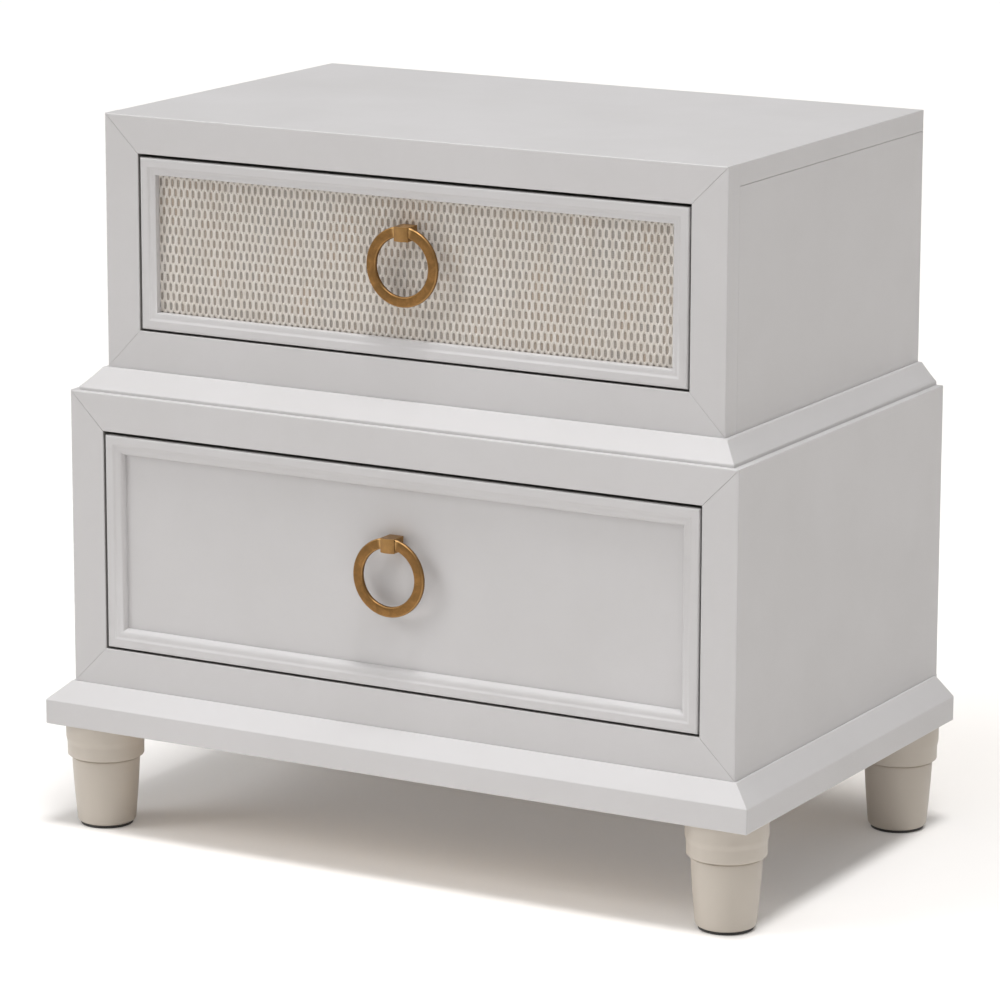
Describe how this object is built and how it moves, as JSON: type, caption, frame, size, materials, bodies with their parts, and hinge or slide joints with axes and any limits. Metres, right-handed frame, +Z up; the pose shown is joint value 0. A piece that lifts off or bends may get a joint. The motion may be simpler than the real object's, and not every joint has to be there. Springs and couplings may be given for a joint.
{
  "type": "nightstand with drawers",
  "caption": "Painted two-tier nightstand with inset drawers, a woven upper drawer front, ring pulls and turned feet.",
  "frame": {"origin": "on the floor, under the middle of the outline", "axes": "+Z up, -Y out of the drawer fronts, +X to the right for someone facing the drawers"},
  "size_m": [0.743, 0.4486, 0.684],
  "materials": {
    "white_paint": "satin paint",
    "cream_paint": "satin paint",
    "birch": "clear lacquer",
    "zinc_steel": "zinc plate",
    "antique_brass": "aged, satin",
    "raffia": "woven, matt",
    "nylon": "matt"
  },
  "bodies": {
    "case": {"base_moulding_front": "white_paint", "base_moulding_left": "white_paint", "base_moulding_right": "white_paint", "foot_rail_front": "birch", "foot_rail_back": "birch", "foot_front_left": "cream_paint", "foot_front_right": "cream_paint", "foot_back_left": "cream_paint", "foot_back_right": "cream_paint", "hanger_bolts": "zinc_steel", "foot_glides": "nylon", "lower_bottom": "white_paint", "lower_side_left": "white_paint", "lower_side_right": "white_paint", "lower_deck": "white_paint", "lower_back": "birch", "lower_frame_top": "white_paint", "lower_frame_bottom": "white_paint", "lower_frame_left": "white_paint", "lower_frame_right": "white_paint", "step_moulding_front": "white_paint", "step_moulding_left": "white_paint", "step_moulding_right": "white_paint", "upper_bottom": "white_paint", "upper_side_left": "white_paint", "upper_side_right": "white_paint", "upper_top": "white_paint", "upper_back": "birch", "upper_frame_top": "white_paint", "upper_frame_bottom": "white_paint", "upper_frame_left": "white_paint", "upper_frame_right": "white_paint", "slide_cleats": "birch", "lower_case_rails": "zinc_steel", "upper_case_rails": "zinc_steel"},
    "lower_middle_slides": {"lower_middle_rails": "zinc_steel"},
    "upper_middle_slides": {"upper_middle_rails": "zinc_steel"},
    "lower_drawer": {"lower_drawer_border": "white_paint", "lower_drawer_panel": "white_paint", "lower_box_front": "birch", "lower_box_back": "birch", "lower_box_left": "birch", "lower_box_right": "birch", "lower_box_bottom": "birch", "lower_drawer_rails": "zinc_steel", "lower_pull_post": "antique_brass", "lower_pull_screw": "zinc_steel"},
    "lower_ring": {"lower_pull_ring": "antique_brass"},
    "upper_drawer": {"upper_drawer_border": "white_paint", "upper_drawer_panel": "birch", "woven_sheet": "raffia", "upper_box_front": "birch", "upper_box_back": "birch", "upper_box_left": "birch", "upper_box_right": "birch", "upper_box_bottom": "birch", "upper_drawer_rails": "zinc_steel", "upper_pull_post": "antique_brass", "upper_pull_screw": "zinc_steel"},
    "upper_ring": {"upper_pull_ring": "antique_brass"}
  },
  "joints": [
    {"name": "lower_drawer_slide", "type": "slide", "parent": "case", "child": "lower_drawer", "axis": [0, -1, 0], "range_m": [0, 0.35]},
    {"name": "lower_middle_slide", "type": "slide", "parent": "case", "child": "lower_middle_slides", "axis": [0, -1, 0], "range_m": [0, 0.175]},
    {"name": "lower_ring_swing", "type": "hinge", "parent": "lower_drawer", "child": "lower_ring", "pos_m": [0, -0.21175, 0.31875], "axis": [-1, 0, 0], "range_deg": [-8, 175]},
    {"name": "upper_drawer_slide", "type": "slide", "parent": "case", "child": "upper_drawer", "axis": [0, -1, 0], "range_m": [0, 0.35]},
    {"name": "upper_middle_slide", "type": "slide", "parent": "case", "child": "upper_middle_slides", "axis": [0, -1, 0], "range_m": [0, 0.175]},
    {"name": "upper_ring_swing", "type": "hinge", "parent": "upper_drawer", "child": "upper_ring", "pos_m": [0, -0.18675, 0.60075], "axis": [-1, 0, 0], "range_deg": [-8, 175]}
  ],
  "couplings": [
    {"joint": "lower_middle_slide", "follows": "lower_drawer_slide", "ratio": 0.5},
    {"joint": "upper_middle_slide", "follows": "upper_drawer_slide", "ratio": 0.5}
  ]
}
